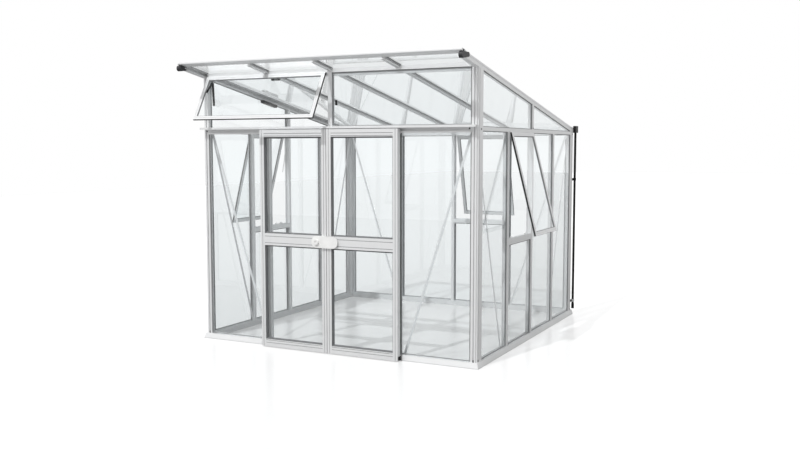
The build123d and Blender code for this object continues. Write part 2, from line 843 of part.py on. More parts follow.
def make_leaf(side):
    """Frame, glass and rollers of one sliding door leaf; side is -1 or 1."""
    near = side * meeting_gap / 2
    far = side * (meeting_gap / 2 + leaf_width)
    x0, x1 = min(near, far), max(near, far)
    inner = -leaf_wall_gap
    outer = inner - leaf_thickness
    frame = block(x0, x1, outer, inner, leaf_bottom, leaf_top)
    openings = (
        (leaf_bottom + bottom_rail_height, mid_rail_bottom),
        (mid_rail_bottom + mid_rail_height, leaf_top - top_rail_height),
    )
    glass_y = inner - (leaf_thickness - glass_thickness) / 2
    panes = []
    for z0, z1 in openings:
        frame -= block(x0 + stile_width, x1 - stile_width, outer, inner, z0, z1)
        sheet = block(
            x0 + stile_width - glass_cover, x1 - stile_width + glass_cover,
            glass_y - glass_thickness, glass_y, z0 - glass_cover, z1 + glass_cover,
        )
        frame -= sheet
        panes.append(sheet)
    for groove in leaf_grooves(x0, x1, outer, inner):
        frame -= groove
    name = "door_left" if side < 0 else "door_right"
    parts[name + "_frame"] = frame.solid()
    parts[name + "_glass"] = joined(panes)

    lip_middle = -track_reach + track_thickness / 2
    axle_z = transom_bottom + running_gap + roller_radius
    half_groove = track_thickness / 2 + roller_side_gap
    half_wheel = half_groove + roller_flange_width
    rim = roller_radius + roller_flange
    profile = [
        (0, lip_middle + half_wheel),
        (rim, lip_middle + half_wheel),
        (rim, lip_middle + half_groove),
        (roller_radius, lip_middle + half_groove),
        (roller_radius, lip_middle - half_groove),
        (rim, lip_middle - half_groove),
        (rim, lip_middle - half_wheel),
        (roller_axle_radius, lip_middle - half_wheel),
        (roller_axle_radius, inner),
        (0, inner),
    ]
    wheel = revolve(make_face(Polyline(*profile, close=True)), Axis.Y)
    parts[name + "_rollers"] = joined(
        [Pos(x, 0, axle_z) * wheel for x in (x0 + roller_inset, x1 - roller_inset)]
    )


def make_handle():
    """The lock and pull plate: its boss is on the left leaf, and it laps over the keeper on the right one."""
    outer = -leaf_wall_gap - leaf_thickness
    z_mid = mid_rail_bottom + mid_rail_height / 2
    face = Plane(origin=(-handle_shift, outer, z_mid), x_dir=(1, 0, 0), z_dir=(0, -1, 0))
    pill = SlotOverall(handle_length, handle_height)
    plate = extrude(face.offset(handle_standoff) * pill, amount=handle_thickness)
    boss = extrude(face * pill, amount=handle_standoff)
    boss_end = -meeting_gap / 2 - handle_setback
    boss &= block(-handle_length, boss_end, 2 * outer, 0, 0, leaf_top)
    end_center = Pos((handle_height - handle_length) / 2, 0)
    knob = extrude(
        face.offset(handle_standoff + handle_thickness) * end_center * Circle(knob_radius), amount=knob_rise
    )
    knob -= extrude(
        face.offset(handle_standoff + handle_thickness + knob_rise) * end_center * Circle(knob_recess),
        amount=-knob_recess_depth,
    )
    parts["door_left_handle"] = (plate + boss + knob).solid()

    keeper_left = meeting_gap / 2 + handle_setback
    keeper_middle = keeper_left + keeper_width / 2
    keeper_face = Plane(origin=(keeper_middle, outer, z_mid), x_dir=(1, 0, 0), z_dir=(0, -1, 0))
    keeper = RectangleRounded(keeper_width, keeper_height, knob_recess / 2)
    keeper -= SlotOverall(keeper_height / 2, keeper_slot, rotation=90)
    parts["door_right_handle"] = extrude(keeper_face * keeper, amount=keeper_thickness)


def make_doors():
    """The pair of leaves, their lock plate and its keeper."""
    make_leaf(-1)
    make_leaf(1)
    make_handle()


make_sills()
make_corner_posts()
make_transoms()
make_roof()
make_beams()
make_wall_bars()
make_wall_glass()
make_gable_glass()
make_window_sills()
make_sashes()
make_braces()
make_gutter()
make_doors()

os.makedirs("parts", exist_ok=True)
for node, shape in parts.items():
    export_step(shape, "parts/" + node + ".step")
print(len(parts), "nodes")
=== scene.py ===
"""Looks of the mono-pitch greenhouse: studio, light, finishes, seals and small fittings."""

import json
import math

import bpy
from mathutils import Matrix, Vector


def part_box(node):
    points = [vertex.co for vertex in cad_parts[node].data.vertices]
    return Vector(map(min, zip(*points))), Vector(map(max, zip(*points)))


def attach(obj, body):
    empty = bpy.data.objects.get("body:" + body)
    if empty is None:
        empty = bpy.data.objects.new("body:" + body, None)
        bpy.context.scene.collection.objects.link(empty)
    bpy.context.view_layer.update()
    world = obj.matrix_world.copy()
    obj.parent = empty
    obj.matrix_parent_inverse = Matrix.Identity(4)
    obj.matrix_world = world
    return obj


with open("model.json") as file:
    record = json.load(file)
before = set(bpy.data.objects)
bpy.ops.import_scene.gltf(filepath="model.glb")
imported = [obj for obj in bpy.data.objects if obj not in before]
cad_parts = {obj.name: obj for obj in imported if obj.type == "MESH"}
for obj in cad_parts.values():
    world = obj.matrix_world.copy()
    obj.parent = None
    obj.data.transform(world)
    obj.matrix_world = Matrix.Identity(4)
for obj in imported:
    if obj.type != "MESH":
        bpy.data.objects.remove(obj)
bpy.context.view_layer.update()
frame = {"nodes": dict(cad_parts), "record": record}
nodes = frame["nodes"]

# Camera of the photograph, in the part's own frame
CAMERA_PLACE = (3.777, -6.303, 1.680)
CAMERA_YAW = 26.54
CAMERA_PITCH = -4.91
FOCAL_LENGTH = 40.62
SENSOR_WIDTH = 36.0

# Light
SUN_TRAVEL = (0.157, 0.707, -1.0)
SUN_STRENGTH = 1.9
SUN_ANGLE = 1.2
WORLD_LIGHT = 0.72

# Floor, whose near and right edges show as faint lines in the panes
FLOOR_LEFT = -21.6
FLOOR_RIGHT = 21.6
FLOOR_NEAR = -12.7
FLOOR_FAR = 53.0
FLOOR_LEVEL = -0.001
FLOOR_ROUGHNESS = 0.25
FLOOR_COLOUR = 0.46
FLOOR_MIRRORED = 0.05
FLOOR_GLOW = 0.452
FLOOR_GLOW_BEHIND = 0.18

# Aluminium: its colour, and the waves a metre of its die lines, clouds and handling marks
ALUMINIUM_COLOUR = (0.80, 0.805, 0.81)
DIE_LINES = 620.0
DIE_LINES_ALONG = 5.0
CLOUDS = 7.0
HANDLING_MARKS = 60.0

# Mouldings: waves a metre of the texture of plastic and of rubber, and of their fading
PLASTIC_GRAIN = 420.0
RUBBER_GRAIN = 300.0
FADING = 14.0

# Glass: what it takes from the light, and how much a slant adds to that
GLASS_TINT = (0.955, 0.975, 0.98, 1)
GLASS_LAMP_TINT = (0.977, 0.987, 0.99, 1)
SLANT_POWER = 5.0
SLANT_LOSS = 0.96

# The frame's own sizes that fittings are placed by, in metres
HALF_WIDTH = 1.28
DEPTH = 2.56
FRONT_HEIGHT = 2.323
ROOF_SLOPE = 0.17656
SILL_TOP = 0.038
BAR_PLACES = (-0.614, 0.0, 0.614)
BAR_HALF_WIDTH = 0.015
BAR_FACE = 0.038
BAR_DEPTH = 0.044
BRACE_THICKNESS = 0.003
POST_GROOVE = (0.024, 0.034)
LEAF_STILE = 0.041
LEAF_BOTTOM_RAIL = 0.062
LEAF_TOP_RAIL = 0.060
LEAF_MID_RAIL = (0.866, 0.100)

# Lines along the rails of a leaf, as shares of each rail's height
BOTTOM_RAIL_LINES = (0.53, 0.87)
MID_RAIL_LINES = (0.20, 0.75)
TOP_RAIL_LINES = (0.13, 0.47)

# How deep each edge of a pane sits in its profile, and the width and height of its seal
WALL_SEATS = {"side": 0.0085, "head": 0.0082, "foot": 0.0092}
GABLE_SEATS = {"side": 0.0085, "head": 0.001, "foot": 0.0082}
SASH_SEATS = {"side": 0.0082, "head": 0.0082, "foot": 0.0082}
ROOF_SEATS = {"side": 0.0122, "high": 0.0082}
LEAF_SEATS = {"side": 0.0082, "head": 0.0082, "foot": 0.0082}
WALL_SEAL = (0.006, 0.0055)
GABLE_SEAL = (0.005, 0.005)
SASH_SEAL = (0.006, 0.006)
ROOF_SEAL = (0.004, 0.003)
LEAF_SEAL = (0.011, 0.017)

# Open windows: the way along the wall, the way out, and the angle that each stands open by
UP = Vector((0, 0, 1))
SASH_TURNS = {
    "clerestory_sash": (Vector((1, 0, 0)), Vector((0, -1, 0)), 29.0),
    "left_sash": (Vector((0, -1, 0)), Vector((-1, 0, 0)), 14.5),
    "right_sash": (Vector((0, 1, 0)), Vector((1, 0, 0)), 14.5),
    "back_sash": (Vector((-1, 0, 0)), Vector((0, 1, 0)), 14.5),
}
SASH_HEAD_GAP = 0.014
STRIP_THICKNESS = 0.0017
STRIP_NEAR = 0.0015
STRIP_FAR = (0.0140, 0.0150)
STRIP_OVERRUN = 0.0005

# Bolt caps: radius and rise
CAP_SIZE = (0.0062, 0.0035)

# Places of the bolt caps: x and z in front, distance out, y and z at the sides, x and z at the back
FRONT_CAPS = ((1.211, 1.822), (-1.217, 1.801), (-1.243, 1.820))
SIDE_CAPS = ((0.0, 0.064, 1.818), (0.005, 1.280, 1.846), (0.0, 2.524, 1.808))
BACK_CAP = (1.243, 1.818)

# Plugs at the foot of the post grooves
PLUG_CLEARANCE = 0.0004
PLUG_LIFT = 0.0002
PLUG_PROUD = 0.002
PLUG_DEPTH = 0.0115
PLUG_TOP = 0.062

# Clips on the wall bars
CLIP_LEVELS = (0.27, 0.93, 1.10, 1.62)
CLIP_HALF_WIDTH = 0.004
CLIP_HEIGHT = 0.011
CLIP_PROUD = 0.0015

# Bolts at the ends of the braces: distance from the wall's middle, and height
BRACE_BOLTS = ((HALF_WIDTH - 0.0573, 1.821), (0.652, 0.062))
BRACE_BOLT_SIZE = (0.0055, 0.0035)

# Band of the pipe's lower bracket
PIPE_CENTRE = (1.29175, 2.600)
BAND_FOOT = 0.1205
BAND_HEIGHT = 0.025
BAND_EDGE = 0.001
BAND_RADII = (0.0148, 0.0164)
BAND_COUNT = 32

# Screws that hold the caps of the roof's front rail
RAIL_SCREW = (1.256, -0.255, 2.341)
RAIL_SCREW_SIZE = (0.0065, 0.003)

# Painted shade in a leaf's grooves: half width of each dark strip, where it lies in its groove, and the gap
# at its ends
GROOVE_SHADE_HALF_WIDTH = 0.0024
GROOVE_SHADE_DEPTHS = (0.0022, 0.0042)
GROOVE_SHADE_END = 0.0005

# Screws of a leaf: from its inner end, its outer end, its foot and its head
LEAF_SCREW_SIZE = (0.0042, 0.0022)
LEAF_SCREW_INNER = 0.058
LEAF_SCREW_OUTER = 0.060
LEAF_SCREW_FOOT = 0.026
LEAF_SCREW_HEAD = 0.045

# Brush behind a leaf's outer stile, and the stop at its foot
BRUSH_ENDS = (0.0005, 0.016)
BRUSH_SEAT = 0.001
BRUSH_REACH = 0.0135
BRUSH_END_GAP = 0.045
STOP_SEAT = 0.001
STOP_REACH = 0.012
STOP_DEPTHS = (0.034, 0.0005)
STOP_HEIGHTS = (0.004, 0.034)

# Screw heads: shares of the radius and of the rise, from the seat to the socket
DOME = ((1.0, -0.3), (1.0, 0.35), (0.9, 0.7), (0.65, 1.0), (0.36, 1.0), (0.32, 0.45))
DOME_COUNT = 14

# Rounded edges of the pieces that have them
BEVEL_SEGMENTS = 2
BEVEL_ANGLE = 40

# Section of a glazing wedge: its lip as a share of the height, its knee as shares of width and height
WEDGE_LIP = 0.25
WEDGE_KNEE = (0.45, 0.6)

# Least share along an axis of a direction that counts as lying along it
MOSTLY = 0.5

# Points this near to a level count as on it
LEVEL_TOLERANCE = 0.001

# The way in from each wall
WAYS_IN = {"front": (0, 1, 0), "back": (0, -1, 0), "left": (1, 0, 0), "right": (-1, 0, 0)}


def new_material(name):
    """A material with an empty node tree, its output and its links."""
    material = bpy.data.materials.new(name)
    material.use_nodes = True
    tree = material.node_tree
    tree.nodes.clear()
    output = tree.nodes.new("ShaderNodeOutputMaterial")
    return material, tree, output


def node(tree, kind, **values):
    """A node with some of its sockets set by name."""
    made = tree.nodes.new(kind)
    for name, value in values.items():
        made.inputs[name.replace("_", " ")].default_value = value
    return made


def math_node(tree, operation, first, second):
    """A Math node between two sockets or numbers."""
    made = tree.nodes.new("ShaderNodeMath")
    made.operation = operation
    for socket, value in zip(made.inputs, (first, second)):
        if isinstance(value, (int, float)):
            socket.default_value = value
        else:
            tree.links.new(value, socket)
    return made.outputs[0]


def seen_directly(tree, names):
    """1 for the rays of these kinds that haven't yet met a matt surface."""
    path = tree.nodes.new("ShaderNodeLightPath")
    seen = path.outputs[names[0]]
    for name in names[1:]:
        seen = math_node(tree, "MAXIMUM", seen, path.outputs[name])
    matt = math_node(tree, "MINIMUM", path.outputs["Diffuse Depth"], 1.0)
    return math_node(tree, "MULTIPLY", seen, math_node(tree, "SUBTRACT", 1.0, matt))


def make_world():
    """Even air light, and plain white wherever it is seen, mirrored or looked through glass at."""
    world = bpy.data.worlds.new("studio_air")
    bpy.context.scene.world = world
    world.use_nodes = True
    tree = world.node_tree
    background = tree.nodes["Background"]
    background.inputs["Color"].default_value = (1.0, 1.0, 1.0, 1.0)
    seen = seen_directly(tree, ("Is Camera Ray", "Is Glossy Ray", "Is Transmission Ray"))
    strength = math_node(tree, "MULTIPLY", seen, 1.0 - WORLD_LIGHT)
    strength = math_node(tree, "ADD", strength, WORLD_LIGHT)
    tree.links.new(strength, background.inputs["Strength"])


def floor_material():
    """Pale floor that keeps its shadows, glows a little to the eye and is dark in a mirror."""
    material, tree, output = new_material("studio_floor")
    shader = node(tree, "ShaderNodeBsdfPrincipled", Roughness=FLOOR_ROUGHNESS, Emission_Color=(1, 1, 1, 1))
    path = tree.nodes.new("ShaderNodeLightPath")
    mirrored = seen_directly(tree, ("Is Glossy Ray",))
    mirrored = math_node(tree, "SUBTRACT", mirrored, path.outputs["Is Transmission Ray"])
    mirrored = math_node(tree, "MAXIMUM", mirrored, 0.0)
    darker = math_node(tree, "MULTIPLY", mirrored, FLOOR_COLOUR - FLOOR_MIRRORED)
    tree.links.new(math_node(tree, "SUBTRACT", FLOOR_COLOUR, darker), shader.inputs["Base Color"])
    open_glow = math_node(tree, "MULTIPLY", seen_directly(tree, ("Is Camera Ray",)), FLOOR_GLOW)
    through_glass = seen_directly(tree, ("Is Transmission Ray",))
    glass_glow = math_node(tree, "MULTIPLY", through_glass, FLOOR_GLOW_BEHIND)
    glow = math_node(tree, "ADD", open_glow, glass_glow)
    tree.links.new(glow, shader.inputs["Emission Strength"])
    tree.links.new(shader.outputs[0], output.inputs["Surface"])
    return material


def make_floor():
    mesh = bpy.data.meshes.new("studio_floor")
    corners = [
        (FLOOR_LEFT, FLOOR_NEAR, FLOOR_LEVEL),
        (FLOOR_RIGHT, FLOOR_NEAR, FLOOR_LEVEL),
        (FLOOR_RIGHT, FLOOR_FAR, FLOOR_LEVEL),
        (FLOOR_LEFT, FLOOR_FAR, FLOOR_LEVEL),
    ]
    mesh.from_pydata(corners, [], [(0, 1, 2, 3)])
    mesh.materials.append(floor_material())
    floor = bpy.data.objects.new("studio_floor", mesh)
    bpy.context.scene.collection.objects.link(floor)


def make_sun():
    light = bpy.data.lights.new("key", "SUN")
    light.energy = SUN_STRENGTH
    light.angle = math.radians(SUN_ANGLE)
    sun = bpy.data.objects.new("key", light)
    sun.rotation_euler = Vector(SUN_TRAVEL).to_track_quat("-Z", "Y").to_euler()
    bpy.context.scene.collection.objects.link(sun)


def make_camera():
    data = bpy.data.cameras.new("photo_camera")
    data.lens = FOCAL_LENGTH
    data.sensor_width = SENSOR_WIDTH
    camera = bpy.data.objects.new("photo_camera", data)
    camera.location = CAMERA_PLACE
    camera.rotation_euler = (math.radians(90 + CAMERA_PITCH), 0, math.radians(CAMERA_YAW))
    bpy.context.scene.collection.objects.link(camera)
    bpy.context.scene.camera = camera


def noise(tree, waves, detail, roughness=0.5):
    """Noise in the part's own metres, with its own number of waves along X, Y and Z."""
    place = tree.nodes.new("ShaderNodeTexCoord")
    stretch = node(tree, "ShaderNodeMapping", Scale=waves)
    tree.links.new(place.outputs["Object"], stretch.inputs["Vector"])
    made = node(tree, "ShaderNodeTexNoise", Scale=1.0, Detail=detail, Roughness=roughness)
    tree.links.new(stretch.outputs[0], made.inputs["Vector"])
    return made.outputs["Fac"]


def spread(tree, value, low, high):
    """The middle half of a 0 to 1 value, spread between two others."""
    made = node(tree, "ShaderNodeMapRange", From_Min=0.25, From_Max=0.75, To_Min=low, To_Max=high)
    tree.links.new(value, made.inputs["Value"])
    return made.outputs[0]


def tinted(tree, colour, shade):
    """A colour times a shade that varies over the surface."""
    made = tree.nodes.new("ShaderNodeVectorMath")
    made.operation = "SCALE"
    made.inputs[0].default_value = colour
    tree.links.new(shade, made.inputs["Scale"])
    return made.outputs[0]


def finish_bump(tree, shader, height, strength, distance):
    bump = node(tree, "ShaderNodeBump", Strength=strength, Distance=distance)
    tree.links.new(height, bump.inputs["Height"])
    tree.links.new(bump.outputs[0], shader.inputs["Normal"])


def aluminium(name, run):
    """Satin anodised extrusion: die lines along its run, faint cloudy sheen and handling marks."""
    material, tree, output = new_material(name)
    shader = node(tree, "ShaderNodeBsdfPrincipled", Metallic=0.12, Specular_IOR_Level=0.4)
    waves = [DIE_LINES] * 3
    waves["xyz".index(run)] = DIE_LINES_ALONG
    lines = noise(tree, waves, detail=3.0)
    clouds = noise(tree, [CLOUDS] * 3, detail=4.0, roughness=0.6)
    marks = noise(tree, [HANDLING_MARKS] * 3, detail=6.0, roughness=0.7)
    line_shade = spread(tree, lines, low=0.955, high=1.02)
    cloud_shade = spread(tree, clouds, low=0.975, high=1.02)
    shade = math_node(tree, "MULTIPLY", line_shade, cloud_shade)
    tree.links.new(tinted(tree, ALUMINIUM_COLOUR, shade), shader.inputs["Base Color"])
    line_gloss = spread(tree, lines, low=0.30, high=0.40)
    mark_gloss = spread(tree, marks, low=-0.02, high=0.06)
    tree.links.new(math_node(tree, "ADD", line_gloss, mark_gloss), shader.inputs["Roughness"])
    finish_bump(tree, shader, lines, strength=0.12, distance=0.0004)
    tree.links.new(shader.outputs[0], output.inputs["Surface"])
    return material


def moulded(name, colour, gloss, grain=PLASTIC_GRAIN, sheen=0.5):
    """Moulded plastic or rubber with a fine texture and slight fading."""
    material, tree, output = new_material(name)
    shader = node(tree, "ShaderNodeBsdfPrincipled", Specular_IOR_Level=sheen)
    pores = noise(tree, [grain] * 3, detail=3.0)
    fading = noise(tree, [FADING] * 3, detail=3.0)
    pore_shade = spread(tree, pores, low=0.94, high=1.04)
    faded_shade = spread(tree, fading, low=0.94, high=1.06)
    shade = math_node(tree, "MULTIPLY", pore_shade, faded_shade)
    tree.links.new(tinted(tree, colour, shade), shader.inputs["Base Color"])
    tree.links.new(spread(tree, pores, *gloss), shader.inputs["Roughness"])
    finish_bump(tree, shader, pores, strength=0.2, distance=0.0005)
    tree.links.new(shader.outputs[0], output.inputs["Surface"])
    return material


def clear_glass():
    """Thin clear panes: the light that falls on what is behind goes straight through, less so at a slant."""
    material, tree, output = new_material("clear_glass")
    shader = node(
        tree,
        "ShaderNodeBsdfPrincipled",
        Base_Color=GLASS_TINT,
        Roughness=0.0,
        IOR=1.5,
        Transmission_Weight=1.0,
    )
    clear = node(tree, "ShaderNodeBsdfTransparent", Color=GLASS_LAMP_TINT)
    path = tree.nodes.new("ShaderNodeLightPath")
    slant = node(tree, "ShaderNodeLayerWeight", Blend=0.5)
    steep = math_node(tree, "POWER", slant.outputs["Facing"], SLANT_POWER)
    passing = math_node(tree, "SUBTRACT", 1.0, math_node(tree, "MULTIPLY", steep, SLANT_LOSS))
    lit = math_node(tree, "MAXIMUM", path.outputs["Is Shadow Ray"], path.outputs["Is Diffuse Ray"])
    mix = tree.nodes.new("ShaderNodeMixShader")
    tree.links.new(math_node(tree, "MULTIPLY", lit, passing), mix.inputs["Fac"])
    tree.links.new(shader.outputs[0], mix.inputs[1])
    tree.links.new(clear.outputs[0], mix.inputs[2])
    tree.links.new(mix.outputs[0], output.inputs["Surface"])
    return material


ALUMINIUM = {run: aluminium("silver_aluminium_" + run, run) for run in "xyz"}
FINISHES = {
    "clear_glass": clear_glass(),
    "dark_grey_plastic": moulded("dark_grey_plastic", (0.045, 0.045, 0.048), gloss=(0.42, 0.58), sheen=0.35),
    "black_plastic": moulded("black_plastic", (0.008, 0.008, 0.008), gloss=(0.38, 0.5), sheen=0.2),
    "white_plastic": moulded("white_plastic", (0.88, 0.88, 0.87), gloss=(0.28, 0.4)),
    "roller_nylon": moulded("roller_nylon", (0.14, 0.14, 0.14), gloss=(0.4, 0.55)),
}
RUBBER = moulded("glazing_rubber", (0.26, 0.265, 0.27), gloss=(0.6, 0.8), grain=RUBBER_GRAIN)
BLACK_RUBBER = moulded("black_rubber", (0.02, 0.02, 0.021), gloss=(0.55, 0.75), grain=RUBBER_GRAIN)
SEAL_GREY = moulded("grey_seal", (0.15, 0.155, 0.16), gloss=(0.55, 0.75), grain=RUBBER_GRAIN)
# Dark grey for the strips in the leaves' grooves: painted shade that deepens the grooves' lines
GROOVE_SHADE_GREY = moulded("painted_groove_shade", (0.34, 0.345, 0.35), gloss=(0.5, 0.7), grain=RUBBER_GRAIN)

# The way that each node's profile was drawn, where it isn't upright
RUNS = {
    "x": (
        "base_front",
        "base_back",
        "front_transom",
        "front_top_beam",
        "back_eaves_beam",
        "rear_gutter",
        "roof_front_rail",
        "clerestory_sash",
        "back_sash",
    ),
    "y": ("base_sides", "side_transom_left", "side_transom_right", "rake_left", "rake_right", "roof_bars"),
}


def run_of(name):
    for run, names in RUNS.items():
        if name in names:
            return run
    return "z"


def dress_nodes():
    """Each node of the frame in the finish that its slot names."""
    for part in frame["record"]["subparts"]:
        name = part["node"]
        obj = nodes[name]
        slot = part["material_slot"]
        finish = ALUMINIUM[run_of(name)] if slot == "silver_aluminium" else FINISHES[slot]
        obj.data.materials.clear()
        obj.data.materials.append(finish)
        for polygon in obj.data.polygons:
            polygon.use_smooth = False


class Piece:
    """Faces gathered into one mesh, which rides on a body and has one finish."""

    def __init__(self, name, body, slot, finish, bevel=0.0):
        self.name = name
        self.body = body
        self.slot = slot
        self.finish = finish
        self.bevel = bevel
        self.points = []
        self.faces = []

    def add(self, points, faces):
        start = len(self.points)
        self.points.extend(tuple(p) for p in points)
        self.faces.extend(tuple(start + i for i in face) for face in faces)

    def prism(self, outline, offset):
        """A closed outline of points, carried by an offset."""
        count = len(outline)
        moved = [Vector(p) + Vector(offset) for p in outline]
        sides = [(i, (i + 1) % count, count + (i + 1) % count, count + i) for i in range(count)]
        ends = [tuple(reversed(range(count))), tuple(range(count, 2 * count))]
        self.add(list(outline) + moved, sides + ends)

    def block(self, corner, opposite, turn=None, about=(0, 0, 0)):
        """A block between two opposite corners, turned by a matrix about a point."""
        (x0, x1), (y0, y1), (z0, z1) = (sorted(pair) for pair in zip(corner, opposite))
        base = [Vector(p) for p in ((x0, y0, z0), (x1, y0, z0), (x1, y1, z0), (x0, y1, z0))]
        offset = Vector((0, 0, z1 - z0))
        if turn is not None:
            about = Vector(about)
            base = [turn @ (p - about) + about for p in base]
            offset = turn @ offset
        self.prism(base, offset)

    def turned(self, centre, axis, rings, count):
        """A turned form: rings of (radius, distance) about an axis from a centre."""
        axis = Vector(axis).normalized()
        side = axis.orthogonal().normalized()
        other = axis.cross(side)
        points = []
        for radius, distance in rings:
            for i in range(count):
                angle = 2 * math.pi * i / count
                spoke = side * math.cos(angle) + other * math.sin(angle)
                points.append(Vector(centre) + axis * distance + spoke * radius)
        faces = [tuple(reversed(range(count)))]
        for ring in range(len(rings) - 1):
            a = ring * count
            b = a + count
            faces.extend((a + i, a + (i + 1) % count, b + (i + 1) % count, b + i) for i in range(count))
        last = (len(rings) - 1) * count
        faces.append(tuple(range(last, last + count)))
        self.add(points, faces)

    def dome_screw(self, centre, axis, size):
        """A domed head with a round socket, of a radius and a rise."""
        radius, rise = size
        self.turned(centre, axis, [(radius * wide, rise * high) for wide, high in DOME], DOME_COUNT)

    def finish_piece(self):
        mesh = bpy.data.meshes.new(self.name)
        mesh.from_pydata(self.points, [], self.faces)
        mesh.materials.append(self.finish)
        obj = bpy.data.objects.new(self.name, mesh)
        bpy.context.scene.collection.objects.link(obj)
        if self.bevel:
            rounding = obj.modifiers.new("rounding", "BEVEL")
            rounding.width = self.bevel
            rounding.segments = BEVEL_SEGMENTS
            rounding.limit_method = "ANGLE"
            rounding.angle_limit = math.radians(BEVEL_ANGLE)
        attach(obj, self.body)


def panes_of(obj):
    """The corners of each separate pane in a mesh, and the direction through its glass."""
    mesh = obj.data
    keys = [tuple(round(c, 5) for c in v.co) for v in mesh.vertices]
    group = {key: key for key in keys}

    def root(key):
        while group[key] != key:
            key = group[key]
        return key

    for edge in mesh.edges:
        a, b = (root(keys[i]) for i in edge.vertices)
        group[a] = b
    corners = {}
    for key in sorted(group):
        corners.setdefault(root(key), []).append(Vector(key))
    widest = {}
    for polygon in mesh.polygons:
        home = root(keys[polygon.vertices[0]])
        if home not in widest or polygon.area > widest[home][0]:
            widest[home] = (polygon.area, polygon.normal.copy())
    return [(corners[home], widest[home][1]) for home in sorted(corners)]


def pane_faces(corners, through):
    """The two four-cornered faces of a pane, first the one that its direction comes from."""
    centre = sum(corners, Vector()) / len(corners)
    faces = []
    for side in (-1, 1):
        face = [p for p in corners if (p - centre).dot(through) * side > 0]
        middle = sum(face, Vector()) / len(face)
        u = (face[0] - middle).normalized()
        v = through.cross(u)
        face.sort(key=lambda p: math.atan2((p - middle).dot(v), (p - middle).dot(u)))
        faces.append(face)
    return faces


def inset(corners, normal, distances):
    """A convex outline with each edge moved inwards by its own distance."""
    centre = sum(corners, Vector()) / len(corners)
    lines = []
    for i, (a, distance) in enumerate(zip(corners, distances)):
        along = (corners[(i + 1) % len(corners)] - a).normalized()
        inwards = normal.cross(along)
        if inwards.dot(centre - a) < 0:
            inwards = -inwards
        lines.append((a + inwards * distance, along, inwards))
    moved = []
    for i, (q, _, across) in enumerate(lines):
        p, along, _ = lines[i - 1]
        moved.append(p + along * ((q - p).dot(across) / along.dot(across)))
    return moved


def edge_kind(a, b, middle):
    """Whether a pane's edge is its side, its head or its foot."""
    along = (b - a).normalized()
    if abs(along.z) > MOSTLY:
        return "side"
    return "head" if ((a + b) / 2 - middle).z > 0 else "foot"


def roof_edge_kind(a, b, middle):
    """Roof panes: their sides run down the slope, and their low edge is free."""
    along = (b - a).normalized()
    if abs(along.x) < MOSTLY:
        return "side"
    return "high" if ((a + b) / 2 - middle).y < 0 else "low"


def wedge(width, height):
    """Section of a glazing wedge: thick at the profile and thin on the glass."""
    lip = (width, height * WEDGE_LIP)
    knee = (width * WEDGE_KNEE[0], height * WEDGE_KNEE[1])
    return [(0.0, 0.0), (width, 0.0), lip, knee, (0.0, height)]


def seal_edges(piece, face, outward, seats, section, kinds):
    """A rubber strip along the edges of a pane's face; its section is (inwards, outwards) points."""
    middle = sum(face, Vector()) / len(face)
    named = [kinds(face[i], face[(i + 1) % len(face)], middle) for i in range(len(face))]
    loops = []
    for inwards, rise in section:
        distances = [seats.get(kind, 0.0) + inwards for kind in named]
        loops.append([p + outward * rise for p in inset(face, outward, distances)])
    count = len(section)
    for i, kind in enumerate(named):
        if kind not in seats:
            continue
        k = (i + 1) % len(face)
        points = [loop[i] for loop in loops] + [loop[k] for loop in loops]
        faces = [(j, (j + 1) % count, count + (j + 1) % count, count + j) for j in range(count)]
        piece.add(points, faces + [tuple(reversed(range(count))), tuple(range(count, 2 * count))])


def seal_node(stem, body, seats, seal, finish, kinds=edge_kind):
    """Seals on both faces of every pane in a node."""
    piece = Piece(stem + "_seals", body, "black_plastic", finish)
    for corners, through in panes_of(nodes[stem]):
        first, second = pane_faces(corners, through)
        seal_edges(piece, first, -through, seats, wedge(*seal), kinds)
        seal_edges(piece, second, through, seats, wedge(*seal), kinds)
    piece.finish_piece()


def make_seals():
    """The rubber that beds every pane."""
    for wall in ("front", "left", "right", "back"):
        seal_node(wall + "_glass", "root", WALL_SEATS, WALL_SEAL, RUBBER)
    seal_node("gable_glass", "root", GABLE_SEATS, GABLE_SEAL, RUBBER)
    seal_node("sash_glass", "root", SASH_SEATS, SASH_SEAL, RUBBER)
    seal_node("roof_glass", "root", ROOF_SEATS, ROOF_SEAL, RUBBER, kinds=roof_edge_kind)
    for body in ("door_left", "door_right"):
        seal_node(body + "_glass", body, LEAF_SEATS, LEAF_SEAL, SEAL_GREY)


def sash_rims(name):
    """A window's way out, and its side and foot edges, each with two ends and its own way out."""
    along, out_flat, angle = SASH_TURNS[name]
    tilt = math.radians(angle)
    down = out_flat * math.sin(tilt) - UP * math.cos(tilt)
    outward = out_flat * math.cos(tilt) + UP * math.sin(tilt)
    points = [v.co.copy() for v in nodes[name].data.vertices]
    across = [p.dot(along) for p in points]
    fall = [p.dot(down) for p in points]
    head = min(fall) + SASH_HEAD_GAP
    foot = max(fall)
    inner = min(p.dot(outward) for p in points if p.dot(down) > foot - LEVEL_TOLERANCE)
    head_left, head_right, foot_left, foot_right = (
        along * u + down * d + outward * inner for d in (head, foot) for u in (min(across), max(across))
    )
    rims = [(head_left, foot_left, -along), (head_right, foot_right, along), (foot_left, foot_right, down)]
    return outward, rims


def make_weather_strips():
    """Black weather strips round the rims of the four open windows."""
    near_end, far_end = STRIP_FAR
    section = [
        (0.0, STRIP_NEAR),
        (STRIP_THICKNESS, STRIP_NEAR),
        (STRIP_THICKNESS, near_end),
        (0.0, far_end),
    ]
    for name in SASH_TURNS:
        piece = Piece(name + "_weather_strip", "root", "black_plastic", BLACK_RUBBER)
        outward, rims = sash_rims(name)
        for a, b, rim in rims:
            overrun = (b - a).normalized() * STRIP_OVERRUN
            start = a - overrun
            base = [start + rim * reach + outward * depth for reach, depth in section]
            piece.prism(base, b + overrun - start)
        piece.finish_piece()


